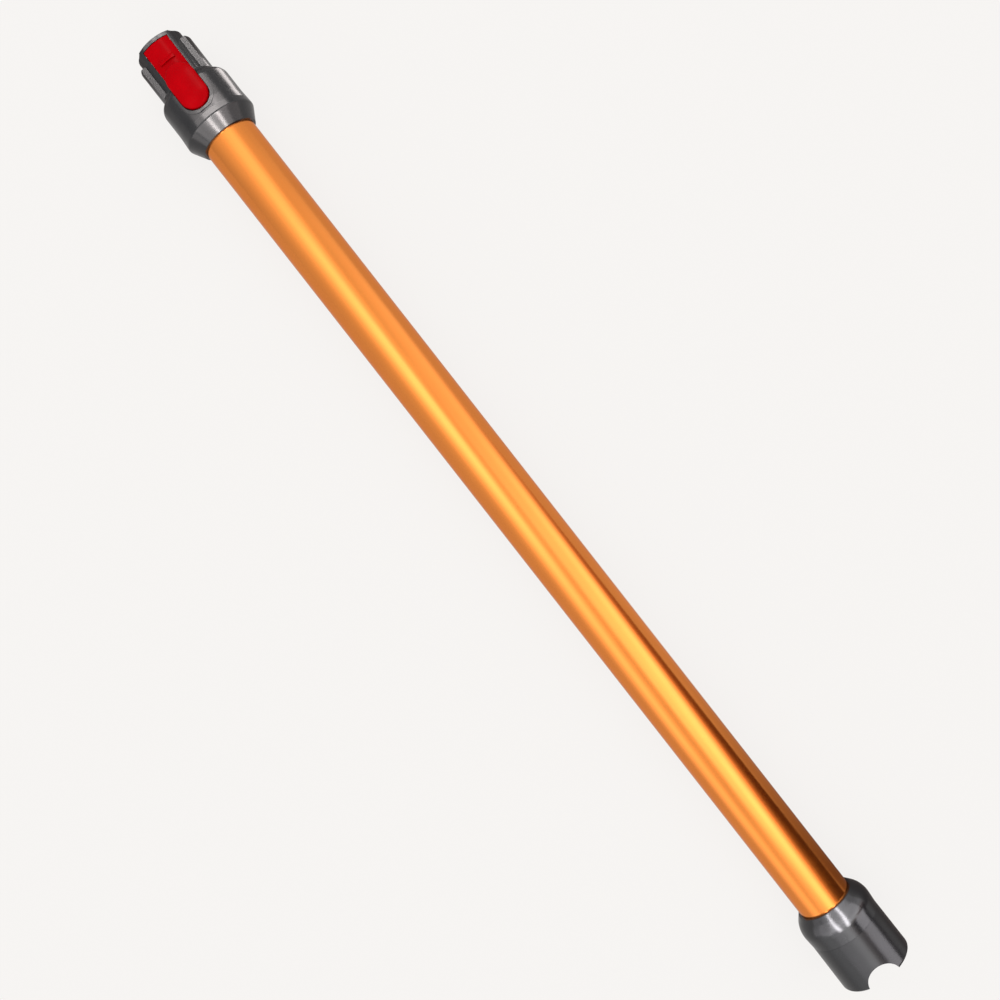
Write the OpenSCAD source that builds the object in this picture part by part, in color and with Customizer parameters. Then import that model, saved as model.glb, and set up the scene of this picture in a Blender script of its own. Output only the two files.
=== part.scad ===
// Quick-release extension wand of a stick vacuum cleaner, lying on its two flat undersides with the
// button up. X runs along the tube: the latching nose is at the -X end, the notched socket at the +X
// end. Z = 0 is the surface it lies on, and the origin is below the middle of its length.
// Values named *_s are distances behind the nose tip, and values named *_h are measured from the
// tube's axis.

/* [Wand] */
// Overall length, nose tip to socket mouth
wand_l = 735; // [600:1:900]
// Height of the tube's axis above the surface the wand lies on
axis_h = 27.5; // [27.4:0.1:30]
// Clearance between pieces that slide or move on each other
run_gap = 0.3; // [0.2:0.05:0.4]
// Clearance between fixed pieces that are pushed together
push_gap = 0.1; // [0.05:0.05:0.2]

/* [Tube] */
// Outer diameter of the tube
tube_d = 36; // [35:0.1:36.5]
// Wall of the tube
tube_wall = 1; // [0.8:0.1:1.4]
// Length of tube inside the ring at the nose end
nose_insert = 14; // [12:0.5:14.5]
// Length of tube inside the ring at the socket end
socket_insert = 16.5; // [14:0.5:17]
// Width of the windows in the tube that the rings' lugs lock into
lug_w = 6; // [4:0.5:8]
// Length of those windows along the tube
lug_l = 4; // [3:0.5:5]
// Distance from a ring's thin end to the middle of its lugs
lug_back = 7; // [5:0.5:8]
// Thickness of the gaskets at the tube's ends
gasket_t = 1; // [0.8:0.1:1.2]
// Height of the lead duct along the bottom of the tube's bore
duct_h = 6.6; // [6.2:0.1:7]

/* [Nose] */
// Length of the nose in front of the shoulder
nose_l = 30.3; // [29.8:0.1:30.6]
// Diameter of the nose's round core
nose_d = 32.8; // [32:0.1:33.4]
// Diameter of the raised band that carries the button
band_d = 36; // [35.6:0.1:37]
// Width of that band
band_w = 23.4; // [22.8:0.1:24]
// Diameter over the two side rails
rail_d = 38.8; // [38:0.1:39.4]
// Height of each side rail
rail_h = 17.2; // [12:0.1:18]
// Distance from the tip to the front of the rails
rail_back = 6.6; // [2:0.1:7]
// Rounding of the nose's front edges
nose_edge = 0.3; // [0.2:0.1:1.4]
// Diameter of the airway through the nose
air_d = 29.2; // [28:0.1:29.6]
// Height of the airway's flat roof above the axis
air_roof = 9.2; // [8:0.1:9.4]

/* [Collar] */
// Diameter of the collar and of the socket shell beside its ring
collar_d = 48.8; // [48.4:0.1:49.4]
// Radius of the hollow curve at the shoulder's foot
shoulder_hollow_r = 3.5; // [2.5:0.1:4]
// Radius of the round curve at the shoulder's top
shoulder_round_r = 5.5; // [5:0.1:6.5]
// Length of the collar between shoulder and ring
collar_l = 20.4; // [20.2:0.1:23]
// Wall of the collar and of the socket shell
shell_wall = 1.9; // [1.6:0.1:2]
// Height of the rim round the button well above the collar
rim_h = 0.5; // [0.2:0.1:0.8]

/* [Rings] */
// Largest diameter of the rings
crest_d = 50; // [49.6:0.1:51]
// Wall of the rings' thin end on the tube
lip_wall = 1.7; // [1.5:0.1:2.3]
// Length of the nose-end ring's cone
cone_l = 10; // [9.5:0.1:12]
// How far that cone bulges, from 0, straight, to 1, one arc
cone_bulge = 0.06; // [0:0.01:0.5]
// Length of the socket-end ring's cone
socket_cone_l = 11.8; // [11:0.1:13]
// How far that cone bulges, from 0, straight, to 1, one arc
socket_cone_bulge = 0.5; // [0:0.05:0.8]
// Length of the nose-end ring in front of its largest diameter
nose_ring_l = 3.4; // [2.5:0.1:4]
// Length of the socket-end ring in front of its largest diameter
socket_ring_l = 8.2; // [8:0.1:9]
// Front diameter of the socket-end ring, beside the shell
ring_front_d = 48.8; // [48.2:0.1:49.2]
// Length of the nose-end ring's sleeve inside the collar
spigot_l = 11; // [8:0.5:12]
// Wall of that sleeve
spigot_wall = 1.2; // [1:0.1:1.6]
// Least wall of the rings' cone, outside the pocket that cores them
cone_wall = 1.8; // [1.5:0.1:2.2]
// Wall of the rings' inner sleeve on the tube
sleeve_wall = 1.6; // [1.3:0.1:1.8]

/* [Button] */
// Width of the tongue in front of the thumb pad
tongue_w = 18.3; // [17.6:0.1:18.4]
// Width of the thumb pad
pad_w = 19.3; // [18.8:0.1:19.4]
// Distance from the tip to the front of the thumb pad
pad_front = 22.6; // [22.4:0.1:24]
// Length of the thumb pad
pad_l = 31.8; // [30:0.1:32]
// Height of the thumb pad above the axis
pad_h = 25.4; // [25:0.1:26.4]
// Radius of the pad's crown, side to side
pad_crown_r = 28; // [22:1:40]
// Rounding of the pad's edge
pad_edge = 1.5; // [0.8:0.1:2]
// Distance from the tip to the pin that the button turns on
pin_back = 5; // [4.9:0.1:5.6]
// Height of that pin above the axis
pin_h = 13.2; // [13.1:0.1:13.4]
// Diameter of the pin
pin_d = 2; // [1.5:0.1:2]
// Radial clearance of the pin in the button
pin_play = 0.05; // [0.02:0.01:0.08]
// Distance from the tip to the locking face of the latch ridge
latch_back = 17.2; // [16.5:0.1:18]
// Length of the latch ridge with its ramp
latch_l = 3.4; // [2.6:0.1:3.6]
// Diameter over the latch ridge
latch_d = 38.2; // [38:0.1:39.2]
// Width of the latch ridge
latch_w = 10.4; // [8:0.1:12]
// Full travel of the button, in degrees
press_deg = 6; // [4:0.5:6]
// Gap behind the thumb pad
pad_gap = 1.25; // [1.1:0.05:1.4]
// Thickness of the wall in front of the button
tip_wall = 2.4; // [2:0.1:2.5]
// Height of the button well's floor above the axis
well_floor = 10.8; // [10.6:0.1:10.9]
// Wall round the button well
well_wall = 2.1; // [1.8:0.1:2.2]
// Outer diameter of the return spring
spring_d = 7; // [6:0.1:8]
// Wire diameter of the return spring
spring_wire = 0.7; // [0.5:0.05:0.9]
// Number of turns of the return spring
spring_turns = 6; // [4:1:7]

/* [Socket] */
// Length of the socket shell, ring to mouth
socket_l = 32.6; // [31.6:0.1:34]
// Diameter of the socket shell at its mouth
mouth_d = 49.2; // [48.8:0.1:50]
// Rounding of the mouth's outer edge
mouth_edge = 1.6; // [0.5:0.1:1.8]
// Wall of the keyed liner
liner_wall = 1.8; // [1.4:0.1:1.8]
// Distance from the shoulder's foot to the mouth of a part pushed on the nose
mate_gap = 0.1; // [0:0.1:0.3]
// Length of the liner's lead-in
lead_in_l = 3.2; // [3:0.1:4]
// Widest diameter of the liner's lead-in
lead_in_d = 43.4; // [43:0.1:43.8]
// Radius of the notch that clears the thumb pad
notch_r = 11.35; // [10.8:0.05:11.8]
// Depth of that notch from the mouth
notch_depth = 10.2; // [8:0.1:10.6]
// Thickness of the soft seal at the socket's seat
seal_t = 2; // [1.6:0.1:2.2]

/* [Undersides] */
// Width of the two housings that the wand rests on
keel_w = 24; // [23.8:0.1:26]
// Rounding of the housings' lower edges
keel_edge = 1.4; // [1:0.1:2.6]
// Thickness of the cover plates
cover_t = 1.6; // [1.4:0.1:1.8]
// Depth that the covers lie inside the undersides
cover_sink = 0.3; // [0.2:0.1:0.4]
// Width of the covers
cover_w = 18.6; // [18.2:0.1:18.8]
// Distance of the nose-end housing's front from the shoulder's foot
keel_front = 0.5; // [0.4:0.1:1]
// Length of the nose-end cover
upper_cover_l = 19.6; // [18:0.1:19.8]

/* [Contacts] */
// Depth of the contacts below the axis
contact_h = 20.5; // [20.4:0.1:20.7]
// Distance of each contact from the middle
contact_y = 3.5; // [3.4:0.1:3.8]
// Diameter of the contact pins
contact_d = 2.4; // [2:0.1:2.6]
// Length of the contact pins in front of their block
contact_l = 8.2; // [6:0.1:9]
// Diameter of the insulated leads
lead_d = 2.2; // [1.6:0.1:2.2]
// Width of the shroud under the nose
shroud_w = 18; // [17:0.1:18.2]
// Lowest point of the shroud below the axis
shroud_h = 24.4; // [24.2:0.1:24.6]
// Wall of the shroud
shroud_wall = 1.1; // [0.9:0.1:1.2]
// Distance from the tip to the front of the shroud
shroud_back = 9; // [8:0.5:10]

/* [Hidden] */
$fn = 96;

// Overlap of solids that become one
weld = 0.01;
// A length beyond the outside of the wand, for cuts
beyond = 60;

tip_x = -wand_l / 2;
mouth_x = wand_l / 2;
tube_r = tube_d / 2;
tube_in_r = tube_r - tube_wall;
nose_r = nose_d / 2;
air_r = air_d / 2;
rail_r = rail_d / 2;
collar_r = collar_d / 2;
shell_in_r = collar_r - shell_wall;
ring_bore_r = tube_r + push_gap;
lip_d = 2 * (ring_bore_r + lip_wall);
// Depth of the airway's flat floor below the axis
air_floor = tube_in_r - duct_h;

// The shoulder is an S of two arcs that turn through the same angle
shoulder_rise = collar_r - rail_r;
shoulder_turn = acos(1 - shoulder_rise / (shoulder_hollow_r + shoulder_round_r));
shoulder_l = (shoulder_hollow_r + shoulder_round_r) * sin(shoulder_turn);

// Places of the nose end along the wand, behind the tip
collar_s = nose_l + shoulder_l;
ring_s = collar_s + collar_l;
lip_s = ring_s + nose_ring_l + cone_l;
tube_s = lip_s - nose_insert;
duct_s = tube_s - gasket_t;
mate_s = nose_l + mate_gap;
flare_s = ring_s - 6;
ring_front_r = crest_d / 2 - 0.2;
flare = ring_front_r - collar_r;
duct_flange_t = 1.8;
nose_ramp_l = 10;
upper_lip_x = tip_x + lip_s;
upper_tube_x = tip_x + tube_s;

// Places of the socket end along X
shell_x = mouth_x - socket_l;
lower_lip_x = shell_x - socket_ring_l - socket_cone_l;
lower_tube_x = lower_lip_x + socket_insert;
flange_x = lower_tube_x + gasket_t;
seal_squeeze = 0.2;
seat_x = mouth_x - mate_s - seal_t + seal_squeeze;
liner_mouth_x = mouth_x - 0.3;
flange_r = shell_in_r - push_gap;
notch_x = mouth_x + notch_r - notch_depth;

// Button well and thumb pad
pad_r = pad_w / 2;
pad_front_s = pad_front + pad_r;
pad_rear_s = pad_front + pad_l - pad_r;
well_r = pad_r + run_gap + 0.05;
well_rear_s = pad_rear_s + pad_gap - run_gap - 0.05;
tongue_well_w = tongue_w + 2 * run_gap + 0.1;
tongue_r = band_d / 2 - run_gap;
tongue_s = tip_wall + run_gap + 0.05;
hub_r = 2;
// The skirt's lower edge rises to the rear a little more steeply than the button turns
skirt_h = well_floor + 0.8;
skirt_from = 8;
skirt_slope = tan(press_deg + 0.5);
pad_skin = 3.6;
skirt_wall = 1.7;
spring_s = (pad_front_s + pad_rear_s) / 2;
spring_roof = pad_h - pad_skin;
post_r = spring_d / 2 - spring_wire - 0.5;
post_l = 1.5;
stop_l = 5;
stop_t = 1.4;
stop_h = 18.8;
stop_reach = 1.1;
stop_slot_end = 0.8;

// Height by which the cheeks stay below the band's edge
cheek_step = 0.2;
// Broken edge at the joint of the socket shell and its ring
joint_edge = 0.15;

// Undersides
keel_z = -axis_h;
cover_z = keel_z + cover_sink;
cover_roof_z = cover_z + cover_t;
keel_front_s = nose_l + keel_front;
keel_front_r = 2;
upper_cover_s = keel_front_s + keel_front_r + 0.4;
upper_cover_end_s = upper_cover_s + upper_cover_l;
keel_flat_end_s = upper_cover_end_s + 1.2;
ledge_w = 1.2;
ramp_slope = (axis_h - tube_in_r + 0.5) / (socket_ring_l + socket_cone_l);
boss_r = 2.2;
screw_r = 1.25;
head_r = 2.3;
head_l = 1;
screw_l = 6;
boss_inset = ledge_w + boss_r - 0.4;
boss_s = [upper_cover_s + boss_inset, upper_cover_end_s - boss_inset];

// Contact blocks
cavity_w = shroud_w - 2 * shroud_wall;
cavity_floor_z = -shroud_h + shroud_wall;
cavity_roof_z = -17.6;
upper_block_s = shroud_back + 0.6;
upper_block_l = 21.4;
entry_l = 1.2;
terminal_r = 2;
terminal_l = 15.2;
terminal_hole_l = 11.2;
terminal_s = upper_block_s + entry_l;
pocket_w = shroud_w + 2 * run_gap;
pocket_floor_z = -shroud_h - run_gap;
block_front_x = mouth_x - mate_s + shroud_back - push_gap;
lower_cover_lap = 0.8;
lower_cover_inset = 2.3;
lower_block_l = block_front_x - shell_x - lower_cover_lap - lower_cover_inset;
block_rear_x = block_front_x - lower_block_l;
lower_block_w = pocket_w - 2 * ledge_w + 0.6;
lower_block_roof_z = -18.8;
pin_root_x = block_rear_x + 1.5;
lower_cover_x = block_rear_x - lower_cover_lap;
lower_cover_l = lower_block_l + 2 * lower_cover_lap;

// Leads: straight along the conduit, then down to the contacts at each end
lead_r = lead_d / 2;
lead_z = -tube_in_r + 2.7;
bend_r = (contact_h + lead_z) / 2;
bend_l = 2 * bend_r;
bend_x = tip_x + upper_cover_s + 5.2;
lower_bend_x = lower_tube_x - 0.7;
tunnel_w = 2 * (contact_y + lead_r) + 1.6;
tunnel_roof_z = -air_floor - 1.2;
conduit_r = tube_in_r - push_gap;
conduit_skin = 0.8;
conduit_end_x = lower_bend_x - bend_l - 0.5;

// Points of an arc about [cx, cy]
function arc(cx, cy, r, a0, a1, n = 8) =
    [for (i = [0:n]) let (a = a0 + (a1 - a0) * i / n) [cx + r * cos(a), cy + r * sin(a)]];

// Local Z runs along the wand from x, local X across it and local Y upwards
module on_axis(x) {
    translate([x, 0, axis_h]) rotate([90, 0, 90]) children();
}

// The same, with local Z running back towards the nose
module on_axis_back(x) {
    translate([x, 0, axis_h]) rotate([90, 0, -90]) children();
}

// A shape drawn in X and Z, given a width across the wand
module side_plate(w) {
    translate([0, w / 2, axis_h]) rotate([90, 0, 0]) linear_extrude(w) children();
}

// A box between two places along X and two heights from the axis
module bar(x0, x1, w, z0, z1) {
    translate([x0, -w / 2, axis_h + z0]) cube([x1 - x0, w, z1 - z0]);
}

// An upright prism with round ends, about two centres along X
module pill(x0, x1, r, z0, z1) {
    translate([0, 0, axis_h + z0]) linear_extrude(z1 - z0) {
        translate([x0, 0]) circle(r);
        translate([x1, 0]) circle(r);
        translate([x0, -r]) square([x1 - x0, 2 * r]);
    }
}

// A round bar along X
module rod(x0, x1, r, y, z) {
    translate([x0, y, axis_h + z]) rotate([0, 90, 0]) cylinder(h = x1 - x0, r = r);
}

// An upright round post between two heights from the axis
module post(x, y, r, z0, z1) {
    translate([x, y, axis_h + z0]) cylinder(h = z1 - z0, r = r);
}

// A drum along local Z with its near edge rounded
module drum(r, l, edge) {
    rotate_extrude() polygon(concat([[0, 0]], arc(r - edge, edge, edge, -90, 0, 5), [[r, l], [0, l]]));
}

// Section of the nose, grown by a clearance: round core, top band and side rails
module nose_section(grow) {
    circle(nose_r + grow);
    intersection() {
        circle(band_d / 2 + grow);
        translate([-band_w / 2 - grow, 0]) square([band_w + 2 * grow, band_d]);
    }
    intersection() {
        circle(rail_r + grow);
        square([2 * rail_d, rail_h + 2 * grow], center = true);
    }
    cheeks(grow);
}

// Flat cheeks that lead from the top band's edges down onto the round core
module cheeks(grow) {
    core = nose_r + grow;
    edge_y = band_w / 2 + grow - cheek_step;
    edge_z = sqrt(pow(band_d / 2 + grow, 2) - pow(edge_y + cheek_step, 2)) - cheek_step;
    foot = atan2(edge_z, edge_y) - 1.25 * acos(core / norm([edge_y, edge_z]));
    reach = core - cheek_step;
    for (side = [0, 1]) mirror([side, 0])
        polygon([[0, 0], [reach * cos(foot), reach * sin(foot)], [edge_y, edge_z]]);
}

// Outline of the shoulder and collar as far as a place, given a height above the collar
function collar_outline(rise, end_s) = concat(
    [[0, nose_l]],
    arc(rail_r + shoulder_hollow_r, nose_l, shoulder_hollow_r - rise, 180, 180 - shoulder_turn),
    arc(collar_r - shoulder_round_r, collar_s, shoulder_round_r + rise, -shoulder_turn * 7 / 8, 0, 7),
    [[collar_r + rise, flare_s], [collar_r + rise + flare * (end_s - flare_s) / (ring_s - flare_s), end_s]]
);

// Section of an underside housing or of the shroud, hanging from the axis
module hanging_section(w, depth, edge) {
    polygon(concat(
        [[-w / 2, 0]], arc(-w / 2 + edge, -depth + edge, edge, 180, 270, 5),
        arc(w / 2 - edge, -depth + edge, edge, 270, 360, 5), [[w / 2, 0]]
    ));
}

module nose_solid() {
    on_axis(tip_x) {
        drum(nose_r, duct_s, nose_edge);
        translate([0, 0, duct_s - duct_flange_t]) cylinder(h = duct_flange_t, r = tube_r);
        intersection() {
            drum(band_d / 2, collar_s, nose_edge);
            translate([-band_w / 2, 0, 0]) cube([band_w, band_d, collar_s]);
        }
        translate([0, 0, cheek_step]) linear_extrude(collar_s - cheek_step) cheeks(0);
        translate([0, 0, rail_back]) intersection() {
            drum(rail_r, collar_s - rail_back, nose_edge);
            translate([-rail_d, -rail_h / 2, 0]) cube([2 * rail_d, rail_h, collar_s]);
        }
    }
}

module collar_solid() {
    on_axis(tip_x) rotate_extrude() polygon(concat(
        collar_outline(0, ring_s),
        [[ring_front_r - shell_wall, ring_s], [shell_in_r, flare_s], [shell_in_r, collar_s], [0, collar_s]]
    ));
}

// Block that carries the button well, with its rim standing a little above the collar
module well_block() {
    intersection() {
        pill(tip_x + pad_front_s, tip_x + well_rear_s, well_r + well_wall, air_roof, beyond);
        on_axis(tip_x) rotate_extrude() polygon(concat(collar_outline(rim_h, duct_s), [[0, duct_s]]));
    }
}

module button_well() {
    bar(tip_x + tip_wall, tip_x + pad_front_s, tongue_well_w, well_floor, beyond);
    pill(tip_x + pad_front_s, tip_x + well_rear_s, well_r, well_floor, beyond);
    bar(tip_x + pad_rear_s - stop_l / 2 - stop_slot_end, tip_x + pad_rear_s + stop_l / 2 + stop_slot_end,
        2 * (pad_r + stop_reach + run_gap), well_floor + 1.6, stop_h + run_gap);
}

// Airway of the nose: flat roof under the button, floor rising to the wire tunnel behind
module nose_airway() {
    ramp_s = collar_s - nose_ramp_l;
    intersection() {
        on_axis(tip_x - 1) cylinder(h = duct_s + 2, r = air_r);
        side_plate(air_d + 2) polygon([
            [tip_x - 1, air_roof], [tip_x - 1, -air_r - 1], [tip_x + ramp_s, -air_r - 1],
            [tip_x + collar_s, -air_floor], [tip_x + duct_s + 1, -air_floor], [tip_x + duct_s + 1, air_roof]
        ]);
    }
}

// Housing under the collar, hollow where the collar is
module upper_keel() {
    difference() {
        intersection() {
            on_axis(tip_x + keel_front_s)
                linear_extrude(ring_s - keel_front_s) hanging_section(keel_w, axis_h, keel_edge);
            side_plate(keel_w + 2) polygon(concat(
                [[tip_x + keel_front_s, 0]],
                arc(tip_x + keel_front_s + keel_front_r, keel_z + keel_front_r, keel_front_r, 180, 270, 5),
                [[tip_x + keel_flat_end_s, keel_z],
                 [tip_x + ring_s, keel_z + ramp_slope * (ring_s - keel_flat_end_s)], [tip_x + ring_s, 0]]
            ));
        }
        on_axis(tip_x + collar_s) cylinder(h = collar_l + 1, r = shell_in_r);
    }
}

module plug_shape() {
    difference() {
        union() {
            difference() {
                union() {
                    nose_solid();
                    collar_solid();
                    well_block();
                    upper_keel();
                    on_axis(tip_x + shroud_back) linear_extrude(collar_s - shroud_back)
                        hanging_section(shroud_w, shroud_h, 1.5);
                }
                bar(tip_x + upper_cover_s + ledge_w, tip_x + upper_cover_end_s - ledge_w,
                    cover_w - 2 * ledge_w, keel_z - 1, cavity_roof_z);
                bar(bend_x - 1, tip_x + duct_s + 1, tunnel_w, -tube_r - 1, tunnel_roof_z);
            }
            for (s = boss_s) post(tip_x + s, 0, boss_r, cover_roof_z, tunnel_roof_z + weld);
        }
        nose_airway();
        button_well();
        bar(tip_x + shroud_back - 1, tip_x + upper_cover_s + ledge_w + 1, cavity_w,
            cavity_floor_z, cavity_roof_z);
        bar(tip_x + upper_cover_s - push_gap, tip_x + upper_cover_end_s + push_gap,
            cover_w + 2 * push_gap, keel_z - 1, cover_roof_z);
        for (s = boss_s) post(tip_x + s, 0, screw_r, cover_roof_z - 1, cover_roof_z + screw_l);
        pin_bar(pin_d / 2 + 0.02, tongue_well_w + 2.4);
    }
    post(tip_x + spring_s, 0, post_r, well_floor - weld, well_floor + post_l);
}

module plug_body() {
    color("dimgray") union() plug_shape();
}

// A bar on the axis that the button turns about
module pin_bar(r, l) {
    translate([tip_x + pin_back, l / 2, axis_h + pin_h]) rotate([90, 0, 0]) cylinder(h = l, r = r);
}

module button_pin() {
    color("silver") pin_bar(pin_d / 2, tongue_well_w + 2);
}

// Half section of the thumb pad from its middle out, crowned and with a rounded edge
function pad_half(r, top, base) =
    let (
        swing = pad_crown_r - pad_edge,
        lean = asin((r - pad_edge) / swing),
        edge_z = top - pad_crown_r + swing * cos(lean)
    )
    concat(
        [[0, base], [r, base]], arc(r - pad_edge, edge_z, pad_edge, 0, 90 - lean, 6),
        arc(0, top - pad_crown_r, pad_crown_r, 90 - lean, 90, 6)
    );

module pad_solid() {
    half = pad_half(pad_r, pad_h, well_floor);
    for (s = [pad_front_s, pad_rear_s])
        translate([tip_x + s, 0, axis_h]) rotate_extrude() polygon(half);
    on_axis(tip_x + pad_front_s) linear_extrude(pad_rear_s - pad_front_s) {
        polygon(half);
        mirror([1, 0]) polygon(half);
    }
}

// Everything of the button lies above this line
module skirt_line() {
    rear_s = pad_front + pad_l + 1;
    polygon([
        [tip_x + tongue_s, pin_h], [tip_x + tongue_s + 0.6, pin_h - hub_r], [tip_x + pin_back, pin_h - hub_r],
        [tip_x + skirt_from, skirt_h], [tip_x + rear_s, skirt_h + skirt_slope * (rear_s - skirt_from)],
        [tip_x + rear_s, beyond], [tip_x + tongue_s, beyond]
    ]);
}

module latch_ridge() {
    intersection() {
        on_axis(tip_x + pin_back) cylinder(h = pad_front, r = latch_d / 2);
        side_plate(latch_w) polygon([
            [tip_x + latch_back - latch_l, tongue_r - 0.4], [tip_x + latch_back - 0.9, latch_d / 2],
            [tip_x + latch_back, latch_d / 2], [tip_x + latch_back, tongue_r - 1.5],
            [tip_x + latch_back - latch_l, tongue_r - 1.5]
        ]);
    }
}

module release_button() {
    color("red") difference() {
        union() {
            difference() {
                intersection() {
                    union() {
                        intersection() {
                            on_axis(tip_x + tongue_s) cylinder(h = pad_rear_s - tongue_s, r = tongue_r);
                            bar(tip_x + tongue_s, tip_x + pad_rear_s, tongue_w, 0, beyond);
                        }
                        pad_solid();
                        bar(tip_x + pad_rear_s - stop_l / 2, tip_x + pad_rear_s + stop_l / 2,
                            2 * (pad_r + stop_reach), stop_h - stop_t, stop_h);
                    }
                    side_plate(2 * pad_w) skirt_line();
                }
                pill(tip_x + pad_front_s, tip_x + pad_rear_s, pad_r - skirt_wall, 0, spring_roof);
                bar(tip_x + skirt_from, tip_x + pad_front_s, tongue_w - 2 * skirt_wall, 0, pin_h + 1.2);
            }
            latch_ridge();
            post(tip_x + spring_s, 0, post_r, spring_roof - post_l, spring_roof + weld);
        }
        pin_bar(pin_d / 2 + pin_play, tongue_w + 2);
    }
}

// Coil of round wire whose end turns lie flat
module button_spring() {
    sides = 8;
    steps = 16 * spring_turns;
    coil_r = (spring_d - spring_wire) / 2;
    low = well_floor + spring_wire / 2;
    high = spring_roof - spring_wire / 2;
    function share(turn) = min(1, max(0, (turn - 0.8) / (spring_turns - 1.6)));
    function rise(t) = low + (high - low) * share(t * spring_turns);
    points = [for (i = [0:steps]) for (k = [0:sides - 1])
        let (a = 360 * spring_turns * i / steps, b = 360 * k / sides, r = coil_r + spring_wire / 2 * cos(b))
        [r * cos(a), r * sin(a), rise(i / steps) + spring_wire / 2 * sin(b)]];
    skin = [for (i = [0:steps - 1]) for (k = [0:sides - 1])
        let (a = i * sides + k, b = i * sides + (k + 1) % sides) [a, b, b + sides, a + sides]];
    ends = [[for (k = [sides - 1:-1:0]) k], [for (k = [0:sides - 1]) steps * sides + k]];
    color("silver") translate([tip_x + spring_s, 0, axis_h]) polyhedron(points, concat(skin, ends));
}

module contact_hole(x0, x1, r) {
    for (side = [-1, 1]) rod(x0, x1, r, side * contact_y, -contact_h);
}

module upper_contact_block() {
    color([0.1, 0.1, 0.1]) difference() {
        bar(tip_x + upper_block_s, tip_x + upper_block_s + upper_block_l, cavity_w - 2 * push_gap,
            cavity_floor_z + push_gap, cavity_roof_z - push_gap);
        contact_hole(tip_x + terminal_s, tip_x + upper_block_s + upper_block_l + 1,
            terminal_r + push_gap / 2);
        contact_hole(tip_x + upper_block_s - 1, tip_x + terminal_s + 1, contact_d / 2 + 0.2);
    }
}

module terminal(side) {
    color("gold") difference() {
        rod(tip_x + terminal_s, tip_x + terminal_s + terminal_l, terminal_r, side * contact_y, -contact_h);
        rod(tip_x + terminal_s - 1, tip_x + terminal_s + terminal_hole_l, contact_d / 2 + 0.05,
            side * contact_y, -contact_h);
    }
}

module cover_plate(x0, l, screws) {
    color([0.15, 0.15, 0.16]) difference() {
        bar(x0, x0 + l, cover_w, cover_z, cover_roof_z);
        for (p = screws) {
            post(p[0], p[1], screw_r + push_gap, cover_z - 1, cover_roof_z + 1);
            post(p[0], p[1], head_r + push_gap, cover_z - 1, cover_z + head_l);
        }
    }
}

module upper_contact_cover() {
    cover_plate(tip_x + upper_cover_s, upper_cover_l, upper_screws);
}

module lower_contact_cover() {
    cover_plate(lower_cover_x, lower_cover_l, lower_screws);
}

module cover_screws(screws) {
    color("silver") for (p = screws) difference() {
        union() {
            post(p[0], p[1], head_r, cover_z, cover_z + head_l);
            post(p[0], p[1], screw_r - 0.02, cover_z + head_l - weld, cover_roof_z + screw_l - 0.5);
        }
        for (turn = [0, 90]) translate([p[0], p[1], axis_h + cover_z]) rotate(turn)
            cube([2.6, 0.6, 1.1], center = true);
    }
}

upper_screws = [for (s = boss_s) [tip_x + s, 0]];
lower_screws = [[(block_front_x + block_rear_x) / 2, 0]];

// A cone down to the tube behind the crest, and a short front towards the end moulding
module ring_solid(front_l, front_r, l, bulge) {
    // The cone leans a little more than a straight one and runs tangent into an arc at the crest
    rise = (crest_d - lip_d) / 2;
    lean = (1 + bulge) * atan(rise / l);
    round_r = (l * tan(lean) - rise) / (1 / cos(lean) - 1);
    crest_c = crest_d / 2 - round_r;
    fall = atan((crest_d / 2 - front_r) / front_l);
    rotate_extrude() polygon(concat(
        [[ring_bore_r, 0], [lip_d / 2 - 0.3, 0], [lip_d / 2, 0.3]],
        arc(crest_c, l, round_r, -lean, fall, 9),
        [[front_r, l + front_l], [ring_bore_r, l + front_l]]
    ));
}

// Ramp under a ring, from the tube down to the underside housing, between two places along X
module ring_ramp(lip_x, end_x, end_z) {
    intersection() {
        on_axis(min(lip_x, end_x)) linear_extrude(abs(end_x - lip_x))
            hanging_section(keel_w, axis_h, keel_edge);
        side_plate(keel_w + 2) polygon([
            [lip_x, 0], [lip_x, end_z + ramp_slope * abs(end_x - lip_x)], [end_x, end_z], [end_x, 0]
        ]);
    }
}

// Pocket round a ring's inner sleeve, from its front end to where the cone gets thin
module ring_pocket(r, front, l) {
    start = (r + cone_wall - lip_d / 2) / (crest_d - lip_d) * 2 * l;
    translate([0, 0, start]) difference() {
        cylinder(h = front - start, r = r);
        translate([0, 0, -1]) cylinder(h = front - start + 2, r = ring_bore_r + sleeve_wall);
    }
}

// Lugs that lock into the tube's windows, about local Z
module ring_lugs() {
    for (side = [0, 180]) rotate(side)
        translate([tube_in_r + push_gap, -lug_w / 2 + push_gap, lug_back - lug_l / 2 + push_gap])
            cube([tube_wall + 1, lug_w - 2 * push_gap, lug_l - 2 * push_gap]);
}

module upper_ring() {
    ramp_z = keel_z + ramp_slope * (ring_s - keel_flat_end_s);
    color("gray") difference() {
        union() {
            on_axis_back(upper_lip_x) {
                ring_solid(nose_ring_l, ring_front_r, cone_l, cone_bulge);
                ring_lugs();
            }
            difference() {
                ring_ramp(upper_lip_x, tip_x + ring_s, ramp_z);
                on_axis(tip_x) cylinder(h = lip_s + 1, r = ring_bore_r + 1);
            }
            on_axis(tip_x + ring_s - spigot_l) difference() {
                cylinder(h = spigot_l + weld, r = shell_in_r - push_gap);
                translate([0, 0, -1]) cylinder(h = spigot_l + 3, r = shell_in_r - push_gap - spigot_wall);
            }
        }
        on_axis_back(upper_lip_x)
            ring_pocket(shell_in_r - push_gap - spigot_wall, cone_l + nose_ring_l + 1, cone_l);
        bar(tip_x, tip_x + ring_s, 2 * (well_r + well_wall + run_gap), 0, beyond);
        bar(tip_x, tip_x + ring_s, cover_w + 1, -beyond, 0);
    }
}

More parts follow.
